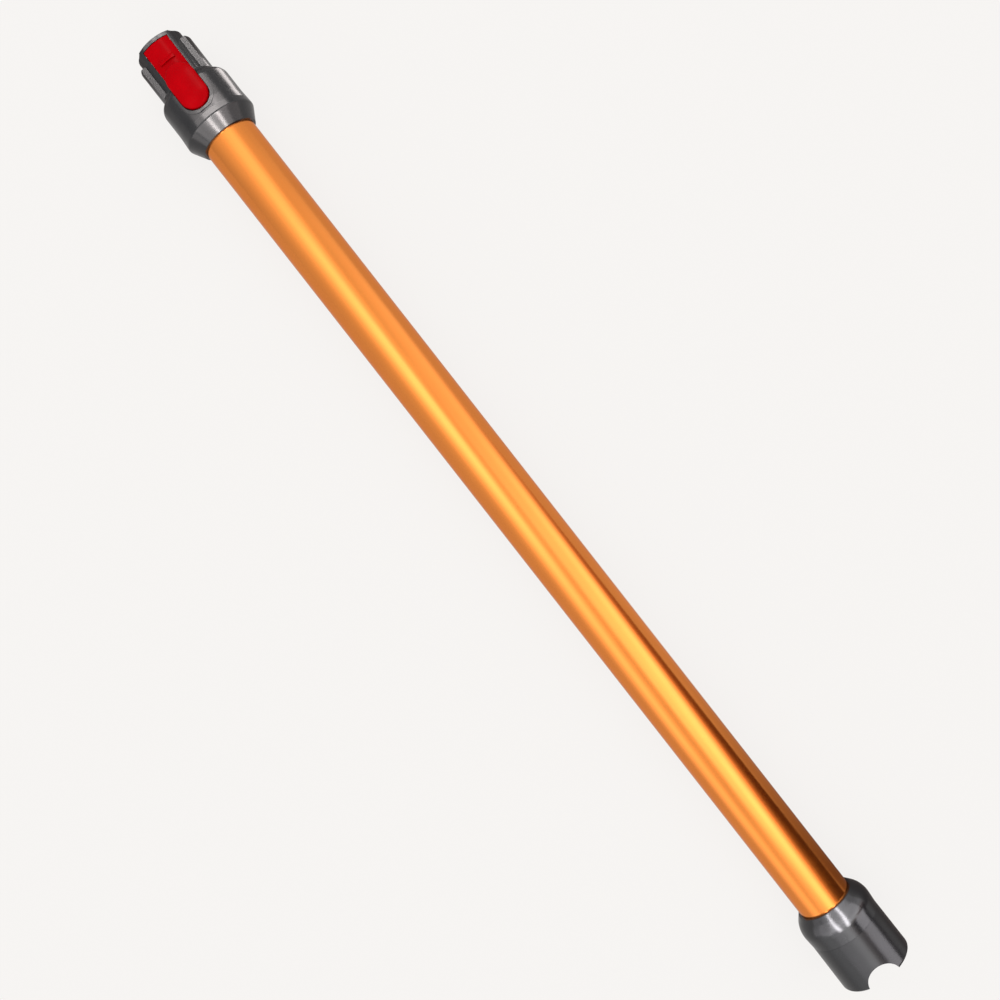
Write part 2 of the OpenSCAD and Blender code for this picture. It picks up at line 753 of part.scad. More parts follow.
module lower_ring() {
    color("gray") difference() {
        union() {
            on_axis(lower_lip_x) {
                ring_solid(socket_ring_l, ring_front_d / 2, socket_cone_l, socket_cone_bulge);
                ring_lugs();
            }
            difference() {
                ring_ramp(lower_lip_x, shell_x, keel_z);
                on_axis(lower_lip_x - 1) cylinder(h = socket_l, r = ring_bore_r + 1);
            }
        }
        on_axis(flange_x) cylinder(h = beyond, r = flange_r + push_gap);
        on_axis(lower_lip_x) ring_pocket(flange_r - 0.8, flange_x - lower_lip_x + 1, socket_cone_l);
        bar(conduit_end_x, shell_x + 1, tunnel_w, -contact_h - lead_r - 0.6, -tube_r + 1);
    }
}

module tube_seal(x) {
    color([0.08, 0.08, 0.08]) on_axis(x) difference() {
        cylinder(h = gasket_t, r = tube_r);
        translate([0, 0, -1]) cylinder(h = gasket_t + 2, r = tube_in_r);
    }
}

module tube() {
    color("orange") difference() {
        on_axis(upper_tube_x) cylinder(h = lower_tube_x - upper_tube_x, r = tube_r);
        on_axis(upper_tube_x - 1) cylinder(h = lower_tube_x - upper_tube_x + 2, r = tube_in_r);
        for (x = [upper_lip_x - lug_back, lower_lip_x + lug_back])
            bar(x - lug_l / 2, x + lug_l / 2, 2 * tube_d, -lug_w / 2, lug_w / 2);
        bar(conduit_end_x, lower_tube_x + 1, tunnel_w, -tube_d, -air_floor);
    }
}

// The part of a disc that lies below a height
module low_segment(r, top) {
    intersection() {
        circle(r);
        translate([-r, -2 * r]) square([2 * r, 2 * r + top]);
    }
}

module wire_conduit() {
    color([0.2, 0.2, 0.22]) on_axis(upper_tube_x) linear_extrude(conduit_end_x - upper_tube_x)
        difference() {
            low_segment(conduit_r, -air_floor);
            low_segment(conduit_r - conduit_skin, tunnel_roof_z);
        }
}

// Two arcs that lift a lead from the contacts' height at x to the conduit's
module lead_bend(y) {
    translate([0, y, axis_h - contact_h + bend_r]) rotate([90, 0, 0]) rotate(-90)
        rotate_extrude(angle = 90) translate([bend_r, 0]) circle(lead_r);
    translate([bend_l, y, axis_h + lead_z - bend_r]) rotate([90, 0, 0]) rotate(90)
        rotate_extrude(angle = 90) translate([bend_r, 0]) circle(lead_r);
}

module lead(y) {
    rod(tip_x + terminal_s + terminal_l, bend_x, lead_r, y, -contact_h);
    translate([bend_x, 0, 0]) lead_bend(y);
    rod(bend_x + bend_l, lower_bend_x - bend_l, lead_r, y, lead_z);
    translate([lower_bend_x, 0, 0]) mirror([1, 0, 0]) lead_bend(y);
    rod(lower_bend_x, pin_root_x, lead_r, y, -contact_h);
}

module contact_pin(side) {
    color("gold") {
        rod(pin_root_x, block_front_x + contact_l - contact_d / 2, contact_d / 2,
            side * contact_y, -contact_h);
        translate([block_front_x + contact_l - contact_d / 2, side * contact_y, axis_h - contact_h])
            sphere(contact_d / 2);
    }
}

module lower_contact_block() {
    color([0.1, 0.1, 0.1]) difference() {
        bar(block_rear_x, block_front_x, lower_block_w, cover_roof_z, lower_block_roof_z);
        contact_hole(block_rear_x - 1, pin_root_x, lead_r + 0.05);
        contact_hole(pin_root_x, block_front_x + 1, contact_d / 2 + 0.02);
        for (p = lower_screws) post(p[0], p[1], screw_r, cover_roof_z - 1, cover_roof_z + screw_l);
    }
}

// The notch in the socket's mouth, grown by a wall
module notch(grow) {
    post(notch_x, 0, notch_r + grow, 0, beyond);
}

module socket_shell() {
    color("dimgray") difference() {
        union() {
            on_axis(shell_x) rotate_extrude() polygon(concat(
                [[0, 0], [collar_r - joint_edge, 0], [collar_r, joint_edge]],
                arc(mouth_d / 2 - mouth_edge, socket_l - mouth_edge, mouth_edge, 0, 90, 5),
                [[0, socket_l]]
            ));
            intersection() {
                on_axis(shell_x) linear_extrude(socket_l) hanging_section(keel_w, axis_h, keel_edge);
                side_plate(keel_w + 2) polygon(concat(
                    [[shell_x, 0], [shell_x, keel_z]],
                    arc(mouth_x - mouth_edge, keel_z + mouth_edge, mouth_edge, 270, 360, 5),
                    [[mouth_x, 0]]
                ));
            }
        }
        on_axis(shell_x - 1) cylinder(h = socket_l + 2, r = shell_in_r);
        bar(block_front_x - weld, mouth_x + 1, pocket_w, pocket_floor_z, 0);
        bar(block_rear_x - push_gap, block_front_x + push_gap, lower_block_w + 2 * push_gap, keel_z - 1, 0);
        bar(lower_cover_x - push_gap, lower_cover_x + lower_cover_l + push_gap, cover_w + 2 * push_gap,
            keel_z - 1, cover_roof_z);
        notch(0);
    }
}

module liner_shape() {
    wall = run_gap + liner_wall;
    window_x = mouth_x - mate_s + latch_back + 0.25;
    difference() {
        union() {
            on_axis(flange_x) linear_extrude(liner_mouth_x - flange_x) nose_section(wall);
            on_axis(flange_x) cylinder(h = seat_x - flange_x, r = flange_r);
            on_axis(liner_mouth_x - lead_in_l - 1) cylinder(h = lead_in_l + 1, r = flange_r);
            intersection() {
                notch(liner_wall);
                on_axis(seat_x) cylinder(h = liner_mouth_x - seat_x, r = flange_r);
            }
        }
        on_axis(seat_x) linear_extrude(socket_l + beyond) nose_section(run_gap);
        on_axis(flange_x - 1) intersection() {
            cylinder(h = seat_x - flange_x + 2, r = air_r);
            translate([-beyond / 2, -air_floor, 0]) cube([beyond, beyond, beyond]);
        }
        on_axis(mouth_x - lead_in_l) cylinder(h = lead_in_l, r1 = rail_r + run_gap, r2 = lead_in_d / 2);
        bar(block_front_x, mouth_x + 1, pocket_w, -beyond, -air_floor);
        bar(window_x - latch_l - 0.5, window_x, latch_w + 1.4, nose_r, rail_r + wall);
        bar(flange_x - 1, seat_x + 1, tunnel_w, -beyond, -nose_r - wall + 0.3);
        notch(0);
    }
    // Tongue that keeps the airway shut over the leads
    on_axis(conduit_end_x + push_gap) linear_extrude(flange_x - conduit_end_x) difference() {
        low_segment(conduit_r, -air_floor);
        low_segment(conduit_r + 1, tunnel_roof_z);
    }
}

module socket_liner() {
    color([0.25, 0.25, 0.27]) union() liner_shape();
}

module socket_seal() {
    color([0.08, 0.08, 0.08]) on_axis(seat_x) difference() {
        cylinder(h = seal_t, r = nose_r + run_gap / 2);
        translate([0, 0, -1]) cylinder(h = seal_t + 2, r = air_r);
    }
}

tube();
wire_conduit();
color("saddlebrown") union() lead(-contact_y);  // live_wire
color("steelblue") union() lead(contact_y);  // neutral_wire
plug_body();
upper_ring();
release_button();
button_pin();
button_spring();
upper_contact_block();
terminal(-1);  // upper_live_terminal
terminal(1);  // upper_neutral_terminal
upper_contact_cover();
cover_screws(upper_screws);  // upper_cover_screws
tube_seal(tip_x + duct_s);  // upper_tube_seal
lower_ring();
socket_shell();
socket_liner();
socket_seal();
tube_seal(lower_tube_x);  // lower_tube_seal
lower_contact_block();
contact_pin(-1);  // lower_live_pin
contact_pin(1);  // lower_neutral_pin
lower_contact_cover();
cover_screws(lower_screws);  // lower_cover_screw
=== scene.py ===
# Finishes, studio light, floor and camera for the extension wand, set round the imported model.
# Lengths are in metres. X runs along the wand, nose end at -X, and Z = 0 is the floor.
import math

import bpy
from mathutils import Matrix, Vector


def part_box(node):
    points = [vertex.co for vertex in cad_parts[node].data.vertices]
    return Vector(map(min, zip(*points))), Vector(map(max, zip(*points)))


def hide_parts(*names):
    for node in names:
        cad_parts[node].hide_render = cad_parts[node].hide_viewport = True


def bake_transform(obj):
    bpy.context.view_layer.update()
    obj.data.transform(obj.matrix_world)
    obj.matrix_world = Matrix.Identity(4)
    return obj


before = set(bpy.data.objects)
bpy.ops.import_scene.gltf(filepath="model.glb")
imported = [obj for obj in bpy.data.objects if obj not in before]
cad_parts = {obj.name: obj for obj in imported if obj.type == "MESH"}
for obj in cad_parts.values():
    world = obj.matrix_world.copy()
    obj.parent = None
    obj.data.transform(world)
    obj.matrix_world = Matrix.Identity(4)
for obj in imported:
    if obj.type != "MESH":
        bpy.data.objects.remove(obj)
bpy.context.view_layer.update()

MM = 0.001

# Sizes that the looks take from the frame
tube_low, tube_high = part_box("tube")
TUBE_R = (tube_high.y - tube_low.y) / 2
AXIS_Z = (tube_high.z + tube_low.z) / 2
TUBE_FRONT_X, TUBE_BACK_X = tube_low.x, tube_high.x


# Small helpers to write node trees

def put(tree, kind, inputs=None, **settings):
    """A new node with its settings; each input is given a value or linked to a socket."""
    node = tree.nodes.new("ShaderNode" + kind)
    for name, value in settings.items():
        setattr(node, name, value)
    for key, value in (inputs or {}).items():
        if isinstance(value, bpy.types.NodeSocket):
            tree.links.new(value, node.inputs[key])
        else:
            node.inputs[key].default_value = value
    return node


def calc(tree, operation, *terms):
    """The result of one maths node."""
    return put(tree, "Math", dict(enumerate(terms)), operation=operation).outputs[0]


def vector_calc(tree, operation, *terms):
    """The vector that one vector maths node gives."""
    return put(tree, "VectorMath", dict(enumerate(terms)), operation=operation).outputs[0]


def mix_values(tree, factor, low, high):
    return put(tree, "Mix", {0: factor, 2: low, 3: high}, data_type="FLOAT").outputs[0]


def mix_colours(tree, factor, first, second, blend="MIX"):
    node = put(tree, "Mix", {0: factor, 6: first, 7: second}, data_type="RGBA", blend_type=blend)
    return node.outputs[2]


def spread(tree, value, low, high, to_low=0.0, to_high=1.0):
    """A value moved from one range to another and held inside it."""
    inputs = {0: value, 1: low, 2: high, 3: to_low, 4: to_high}
    return put(tree, "MapRange", inputs, clamp=True).outputs[0]


def noise(tree, where, scale, detail=2.0, roughness=0.5):
    inputs = {"Vector": where, "Scale": scale, "Detail": detail, "Roughness": roughness}
    return put(tree, "TexNoise", inputs).outputs["Fac"]


def shader_group(name, inputs, outputs):
    """An empty node group with named sockets: the tree, its input sockets, its output node."""
    tree = bpy.data.node_groups.new(name, "ShaderNodeTree")
    for label, kind, value in inputs:
        socket = tree.interface.new_socket(label, in_out="INPUT", socket_type="NodeSocket" + kind)
        socket.default_value = value
    for label, kind in outputs:
        tree.interface.new_socket(label, in_out="OUTPUT", socket_type="NodeSocket" + kind)
    given = tree.nodes.new("NodeGroupInput").outputs
    result = tree.nodes.new("NodeGroupOutput").inputs
    return tree, given, result


def use_group(tree, group, inputs):
    node = put(tree, "Group", node_tree=group)
    for key, value in inputs.items():
        if isinstance(value, bpy.types.NodeSocket):
            tree.links.new(value, node.inputs[key])
        else:
            node.inputs[key].default_value = value
    return node.outputs


def grey(level):
    return (level, level, level, 1.0)


# Effects that several finishes share

def make_moulded_skin():
    """Eroded grain of a moulding tool, with soft flow shading and uneven gloss."""
    tree, given, result = shader_group(
        "moulded_skin",
        [("Grain", "Float", 0.4), ("Flow", "Float", 9.0)],
        [("Height", "Float"), ("Gloss", "Float"), ("Shade", "Float")],
    )
    place = put(tree, "TexCoord").outputs["Object"]
    per_metre = calc(tree, "DIVIDE", 1000.0, given["Grain"])
    grain = noise(tree, place, per_metre, 3.0, 0.6)
    flow = noise(tree, place, calc(tree, "DIVIDE", 1000.0, given["Flow"]), 2.0)
    tree.links.new(grain, result["Height"])
    tree.links.new(calc(tree, "ADD", calc(tree, "MULTIPLY", grain, 0.35),
                        calc(tree, "MULTIPLY", flow, 0.65)), result["Gloss"])
    tree.links.new(flow, result["Shade"])
    return tree


def make_edge_rub():
    """Mask of the outer edges, broken up, where hands and other parts rub the surface bright."""
    tree, given, result = shader_group(
        "edge_rub",
        [("Width", "Float", 0.4 * MM), ("Patches", "Float", 3.0)],
        [("Edge", "Float")],
    )
    place = put(tree, "TexCoord").outputs["Object"]
    eased = put(tree, "Bevel", {"Radius": given["Width"]}, samples=4).outputs[0]
    flat = put(tree, "NewGeometry").outputs["Normal"]
    agreement = put(tree, "VectorMath", {0: eased, 1: flat}, operation="DOT_PRODUCT").outputs["Value"]
    edge = spread(tree, agreement, 0.995, 0.90)
    patches = noise(tree, place, calc(tree, "DIVIDE", 1000.0, given["Patches"]), 3.0)
    broken = calc(tree, "MULTIPLY", edge, spread(tree, patches, 0.35, 0.65, 0.25, 1.0))
    tree.links.new(broken, result["Edge"])
    return tree


def make_handling():
    """Faint smudges and hairline scuffs left by use."""
    tree, given, result = shader_group(
        "handling",
        [("Smudge", "Float", 18.0), ("Scuff", "Float", 0.25)],
        [("Smudges", "Float"), ("Scuffs", "Float")],
    )
    place = put(tree, "TexCoord").outputs["Object"]
    smudges = noise(tree, place, calc(tree, "DIVIDE", 1000.0, given["Smudge"]), 4.0, 0.6)
    turned = put(tree, "Mapping", {0: place, "Rotation": (0.4, 0.3, 0.7), "Scale": (60.0, 1.0, 14.0)})
    hairs = noise(tree, turned.outputs[0], calc(tree, "DIVIDE", 10.0, given["Scuff"]), 2.0)
    where = noise(tree, place, 55.0, 1.0)
    scuffs = calc(tree, "MULTIPLY", spread(tree, hairs, 0.66, 0.74), spread(tree, where, 0.5, 0.62))
    tree.links.new(spread(tree, smudges, 0.35, 0.7), result["Smudges"])
    tree.links.new(scuffs, result["Scuffs"])
    return tree


def make_drawn_lines():
    """Fine lengthwise lines of a drawn tube or wire, with broad bands of shade."""
    tree, given, result = shader_group(
        "drawn_lines",
        [("Line", "Float", 0.35), ("Band", "Float", 5.0)],
        [("Height", "Float"), ("Gloss", "Float"), ("Shade", "Float")],
    )
    place = put(tree, "TexCoord").outputs["Object"]
    along = put(tree, "Mapping", {0: place, "Scale": (0.004, 1.0, 1.0)}).outputs[0]
    fine = noise(tree, along, calc(tree, "DIVIDE", 1000.0, given["Line"]), 2.0, 0.7)
    bands = noise(tree, along, calc(tree, "DIVIDE", 1000.0, given["Band"]), 2.0)
    cloud = noise(tree, place, 26.0, 3.0, 0.55)
    tree.links.new(fine, result["Height"])
    tree.links.new(mix_values(tree, 0.45, fine, cloud), result["Gloss"])
    tree.links.new(mix_values(tree, 0.35, bands, cloud), result["Shade"])
    return tree


moulded_skin = make_moulded_skin()
edge_rub = make_edge_rub()
handling = make_handling()
drawn_lines = make_drawn_lines()


# Finishes

def new_finish(name):
    material = bpy.data.materials.new(name)
    material.use_nodes = True
    tree = material.node_tree
    shader = tree.nodes["Principled BSDF"]
    return material, tree, shader


def connect(tree, shader, colour, roughness, height, depth):
    """Colour, roughness and bump into the shader. Depth is the bump's height in metres."""
    bump = put(tree, "Bump", {"Height": height, "Strength": 1.0, "Distance": depth})
    tree.links.new(colour, shader.inputs["Base Color"])
    tree.links.new(roughness, shader.inputs["Roughness"])
    tree.links.new(bump.outputs[0], shader.inputs["Normal"])


def moulded_plastic(name, colour, rubbed, roughness=0.42, specular=0.5, grain=0.35,
                    depth=0.012 * MM, edge_width=0.35 * MM, smudge=0.08):
    """Moulded plastic with grain, flow shading, polished edges and handling marks."""
    material, tree, shader = new_finish(name)
    skin = use_group(tree, moulded_skin, {"Grain": grain})
    rub = use_group(tree, edge_rub, {"Width": edge_width})
    marks = use_group(tree, handling, {})
    shade = spread(tree, skin["Shade"], 0.3, 0.7)
    body = mix_colours(tree, shade, tuple(0.92 * c for c in colour) + (1.0,),
                       tuple(1.08 * c for c in colour) + (1.0,))
    worn = mix_colours(tree, calc(tree, "MULTIPLY", rub["Edge"], 0.55), body, (*rubbed, 1.0))
    scuffed = mix_colours(tree, calc(tree, "MULTIPLY", marks["Scuffs"], 0.25), worn, (*rubbed, 1.0))
    gloss = spread(tree, skin["Gloss"], 0.3, 0.7, roughness + 0.05, roughness - 0.05)
    handled = calc(tree, "ADD", gloss, calc(tree, "MULTIPLY", marks["Smudges"], smudge))
    polished = calc(tree, "SUBTRACT", handled, calc(tree, "MULTIPLY", rub["Edge"], 0.10))
    height = calc(tree, "SUBTRACT", skin["Height"], calc(tree, "MULTIPLY", marks["Scuffs"], 0.6))
    connect(tree, shader, scuffed, polished, height, depth)
    shader.inputs["Specular IOR Level"].default_value = specular
    return material


def anodised_tube():
    """Drawn aluminium tube, anodised orange-gold and sealed to a satin."""
    material, tree, shader = new_finish("orange_gold_anodising")
    lines = use_group(tree, drawn_lines, {})
    marks = use_group(tree, handling, {"Smudge": 40.0, "Scuff": 0.2})
    rub = use_group(tree, edge_rub, {"Width": 0.5 * MM})
    dye = mix_colours(tree, spread(tree, lines["Shade"], 0.3, 0.7),
                      (0.88, 0.255, 0.032, 1.0), (0.93, 0.282, 0.038, 1.0))
    bare = mix_colours(tree, calc(tree, "MULTIPLY", rub["Edge"], 0.4), dye, (0.91, 0.55, 0.22, 1.0))
    satin = spread(tree, lines["Gloss"], 0.3, 0.7, 0.215, 0.165)
    handled = calc(tree, "ADD", satin, calc(tree, "MULTIPLY", marks["Smudges"], 0.03))
    connect(tree, shader, bare, handled, lines["Height"], 0.0012 * MM)
    shader.inputs["Metallic"].default_value = 1.0
    shader.inputs["Specular Tint"].default_value = (1.0, 0.58, 0.28, 1.0)
    shader.inputs["Coat Weight"].default_value = 0.6
    shader.inputs["Coat Roughness"].default_value = 0.15
    shader.inputs["Coat IOR"].default_value = 1.5
    return material


def bright_metal(name, colour, roughness, line=0.2):
    """Turned or drawn metal with fine lines and slight tarnish."""
    material, tree, shader = new_finish(name)
    lines = use_group(tree, drawn_lines, {"Line": line, "Band": 2.0})
    marks = use_group(tree, handling, {"Smudge": 4.0})
    tarnish = mix_colours(tree, marks["Smudges"], (*colour, 1.0),
                          tuple(0.78 * c for c in colour) + (1.0,))
    satin = spread(tree, lines["Gloss"], 0.3, 0.7, roughness + 0.06, roughness - 0.05)
    connect(tree, shader, tarnish, satin, lines["Height"], 0.002 * MM)
    shader.inputs["Metallic"].default_value = 1.0
    return material


def soft_rubber(name, colour):
    material, tree, shader = new_finish(name)
    skin = use_group(tree, moulded_skin, {"Grain": 0.25, "Flow": 4.0})
    marks = use_group(tree, handling, {"Smudge": 6.0})
    bloom = mix_colours(tree, calc(tree, "MULTIPLY", marks["Smudges"], 0.25), (*colour, 1.0), grey(0.12))
    matt = spread(tree, skin["Gloss"], 0.3, 0.7, 0.85, 0.68)
    connect(tree, shader, bloom, matt, skin["Height"], 0.02 * MM)
    shader.inputs["Specular IOR Level"].default_value = 0.3
    return material


FINISHES = {
    "tube_metal": anodised_tube(),
    "housing_plastic": moulded_plastic("dark_grey_satin_moulding", (0.014, 0.0138, 0.0155), (0.04, 0.04, 0.045), 0.19,
                                       specular=0.45),
    "ring_plastic": moulded_plastic("dark_grey_ring_moulding", (0.014, 0.0138, 0.0155), (0.04, 0.04, 0.045), 0.16,
                                    specular=0.5),
    "liner_plastic": moulded_plastic("dark_grey_liner_moulding", (0.016, 0.016, 0.018), (0.05, 0.05, 0.055), 0.42),
    "button_plastic": moulded_plastic("polished_red_moulding", (0.40, 0.0, 0.0025), (0.44, 0.002, 0.006), 0.24,
                                      specular=0.02, grain=0.8, depth=0.003 * MM, smudge=0.05),
    "conduit_plastic": moulded_plastic("dark_extruded_plastic", (0.022, 0.022, 0.024), (0.05, 0.05, 0.05), 0.55),
    "cover_plastic": moulded_plastic("grained_cover_moulding", (0.026, 0.027, 0.029), (0.08, 0.08, 0.08), 0.5,
                                     grain=0.5, depth=0.03 * MM),
    "contact_plastic": moulded_plastic("black_contact_moulding", (0.008, 0.008, 0.009), (0.04, 0.04, 0.04), 0.5),
    "live_insulation": moulded_plastic("brown_lead_insulation", (0.075, 0.026, 0.010), (0.11, 0.05, 0.03), 0.4),
    "neutral_insulation": moulded_plastic("blue_lead_insulation", (0.010, 0.045, 0.19), (0.03, 0.09, 0.26), 0.4),
    "steel": bright_metal("plain_steel", (0.20, 0.20, 0.21), 0.34),
    "spring_steel": bright_metal("drawn_spring_wire", (0.44, 0.44, 0.45), 0.34),
    "contact_brass": bright_metal("plated_contact_brass", (0.83, 0.62, 0.28), 0.24),
    "seal_rubber": soft_rubber("black_seal_rubber", (0.012, 0.012, 0.012)),
}

for name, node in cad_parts.items():
    slot_name = node.data.materials[0].name.split(".")[0]
    for index in range(len(node.data.materials)):
        node.data.materials[index] = FINISHES[slot_name]


# Return spring, which in the real wand gets shorter under the thumb pad as the button goes down; here its coil is
# copied to an object of its own and the packed node is hidden

def shortening_spring():
    coil = bpy.data.objects.new("return_coil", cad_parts["button_spring"].data.copy())
    bpy.context.scene.collection.objects.link(coil)
    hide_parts("button_spring")
    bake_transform(coil)
    return coil


shortening_spring()


# Floor

BACKGROUND = (1.0, 0.982, 0.964)
FLOOR_SIZE = 24.0
# Share of the floor that the camera sees as plain background, so that the shadow stays light
PLAIN_SHARE = 0.84
REFLECTED_SHARE = 0.30
FLOOR_GREY = (0.42, 0.413, 0.406)
# Painted reflection shade: dark patches painted on the floor beside the tool end, along the tube and round the nose,
# that only the gloss mirrors
PAINTED_REFLECTION_SHADE_COLOUR = (0.05, 0.02, 0.015)


def pale_floor_finish():
    material, tree, shader = new_finish("pale_studio_floor")
    grain = noise(tree, put(tree, "TexCoord").outputs["Object"], 900.0, 2.0)
    tint = mix_colours(tree, grain, tuple(0.985 * c for c in FLOOR_GREY) + (1.0,),
                       tuple(1.015 * c for c in FLOOR_GREY) + (1.0,))
    tree.links.new(tint, shader.inputs["Base Color"])
    shader.inputs["Roughness"].default_value = 0.9
    shader.inputs["Specular IOR Level"].default_value = 0.0
    plain = put(tree, "Emission", {"Color": (*BACKGROUND, 1.0), "Strength": 1.0}).outputs[0]
    rays = put(tree, "LightPath").outputs
    seen = calc(tree, "MAXIMUM", rays["Is Camera Ray"], rays["Is Transmission Ray"])
    seen = calc(tree, "MULTIPLY", seen, PLAIN_SHARE)
    seen = calc(tree, "MAXIMUM", seen, calc(tree, "MULTIPLY", rays["Is Glossy Ray"], REFLECTED_SHARE))
    blended = put(tree, "MixShader", {0: seen, 1: shader.outputs[0], 2: plain}).outputs[0]
    place = put(tree, "SeparateXYZ", {0: put(tree, "TexCoord").outputs["Object"]}).outputs
    # Painted shade in the reflections: dark patches beside the tool end, along the tube's right side and round the
    # nose, seen only by glossy rays
    tool_end_painted_shade = calc(tree, "MULTIPLY", spread(tree, place["X"], 0.12, 0.36, 0.0, 0.8),
                     spread(tree, place["Y"], 0.16, 0.07))
    tool_end_painted_shade = calc(tree, "MULTIPLY", tool_end_painted_shade, calc(tree, "GREATER_THAN", place["Y"], 0.0))
    nose_painted_shade = calc(tree, "MULTIPLY", spread(tree, place["X"], -0.350, -0.375, 0.0, 0.7),
                     spread(tree, calc(tree, "ABSOLUTE", place["Y"]), 0.14, 0.07))
    slant = calc(tree, "MULTIPLY_ADD", place["Y"], -0.4, place["X"])
    tube_side_painted_shade = calc(tree, "MULTIPLY", spread(tree, slant, 0.12, 0.30, 0.0, 0.8),
                     spread(tree, slant, 0.36, 0.32))
    tube_side_painted_shade = calc(tree, "MULTIPLY", tube_side_painted_shade, calc(tree, "GREATER_THAN", place["Y"], 0.0))
    painted_reflection_shade = calc(tree, "MAXIMUM", calc(tree, "MAXIMUM", tool_end_painted_shade, tube_side_painted_shade), nose_painted_shade)
    painted_reflection_shade = calc(tree, "MULTIPLY", painted_reflection_shade, rays["Is Glossy Ray"])
    # The painted reflection shade is a dark emission mixed in where the patches lie
    dark = put(tree, "Emission", {"Color": (*PAINTED_REFLECTION_SHADE_COLOUR, 1.0), "Strength": 1.0}).outputs[0]
    blended = put(tree, "MixShader", {0: painted_reflection_shade, 1: blended, 2: dark})
    tree.links.new(blended.outputs[0], tree.nodes["Material Output"].inputs["Surface"])
    return material


def make_floor():
    half = FLOOR_SIZE / 2
    mesh = bpy.data.meshes.new("studio_floor")
    corners = [(-half, -half, 0), (half, -half, 0), (half, half, 0), (-half, half, 0)]
    mesh.from_pydata(corners, [], [(0, 1, 2, 3)])
    floor = bpy.data.objects.new("studio_floor", mesh)
    mesh.materials.append(pale_floor_finish())
    bpy.context.scene.collection.objects.link(floor)
    return floor


make_floor()


# Studio light: two long softboxes and a dark flag, written as the brightness of each direction

# The softboxes and the flag lie slantwise over the wand, so their places and levels are given at
# stations of the direction's X. Places are in degrees from straight up towards +Y.
STATIONS = (-0.45, -0.36, -0.27, -0.17, -0.07, 0.03, 0.14, 0.24, 0.33, 0.45)
LEFT_BOX = {
    "middle": (30, 22, 5, -3, -13, -23, -40, -54, -62, -62),
    "level": (1.40, 1.65, 2.20, 2.85, 3.05, 2.65, 2.10, 1.88, 1.40, 1.40),
    "near": (12.0, 12.0, 13.0, 7.5, 7.0, 7.0, 8.0, 8.5, 9.0, 9.0),
    "far": (26.0, 26.0, 22.0, 20.0, 19.0, 18.0, 17.0, 16.0, 15.0, 15.0),
}
RIGHT_BOX = {
    "edge": (70, 60, 50, 36, 16, 7, -3, -11, -20, -45),
    "level": (0.55, 0.75, 0.94, 1.06, 1.22, 1.62, 1.95, 2.20, 1.90, 1.35),
    "soft": 6.0,
}
RIDGE = {
    "middle": (88, 80, 74, 68, 60, 52, 44, 32, 17, -3),
    "level": (0.50, 0.72, 0.95, 1.28, 1.42, 2.30, 2.80, 3.25, 3.40, 2.70),
    "near": 8.0,
}
FLAG = {
    "starts": 3.0,
    "ends": 34.0,
    "level": (0.35, 0.48, 0.66, 0.74, 0.64, 0.44, 0.27, 0.14, 0.06, 0.05),
    "warmth": (0.0, 0.0, 0.0, 0.0, 0.1, 0.5, 0.75, 0.9, 1.0, 0.3),
}
FLAG_TINT = (1.0, 0.36, 0.20)
FILL_LOW = (0.32, 0.48, 0.60, 0.66, 0.66, 0.66, 0.66, 0.66, 0.66, 0.66)
FILL_HIGH = 0.78


def by_station(tree, across, values):
    """A place or level that changes along X, read between the stations."""
    low, high = min(values), max(values)
    ramp = put(tree, "ValToRGB", {0: spread(tree, across, STATIONS[0], STATIONS[-1])})
    stops = ramp.color_ramp.elements
    for index, (station, value) in enumerate(zip(STATIONS, values)):
        place = (station - STATIONS[0]) / (STATIONS[-1] - STATIONS[0])
        if index in (0, len(STATIONS) - 1):
            stop = stops[0 if index == 0 else -1]
        else:
            stop = stops.new(place)
        stop.position = place
        stop.color = grey((value - low) / (high - low))
    return calc(tree, "MULTIPLY_ADD", ramp.outputs[0], high - low, low)


def bell(tree, away, near, far):
    """1 at no distance, falling with one width on the positive side and another on the negative."""
    width = mix_values(tree, calc(tree, "GREATER_THAN", away, 0.0), far, near)
    share = calc(tree, "DIVIDE", away, width)
    return calc(tree, "EXPONENT", calc(tree, "MULTIPLY", calc(tree, "MULTIPLY", share, share), -0.5))


def ease(tree, value, low, high):
    inputs = {0: value, 1: low, 2: high, 3: 0.0, 4: 1.0}
    return put(tree, "MapRange", inputs, interpolation_type="SMOOTHSTEP", clamp=True).outputs[0]


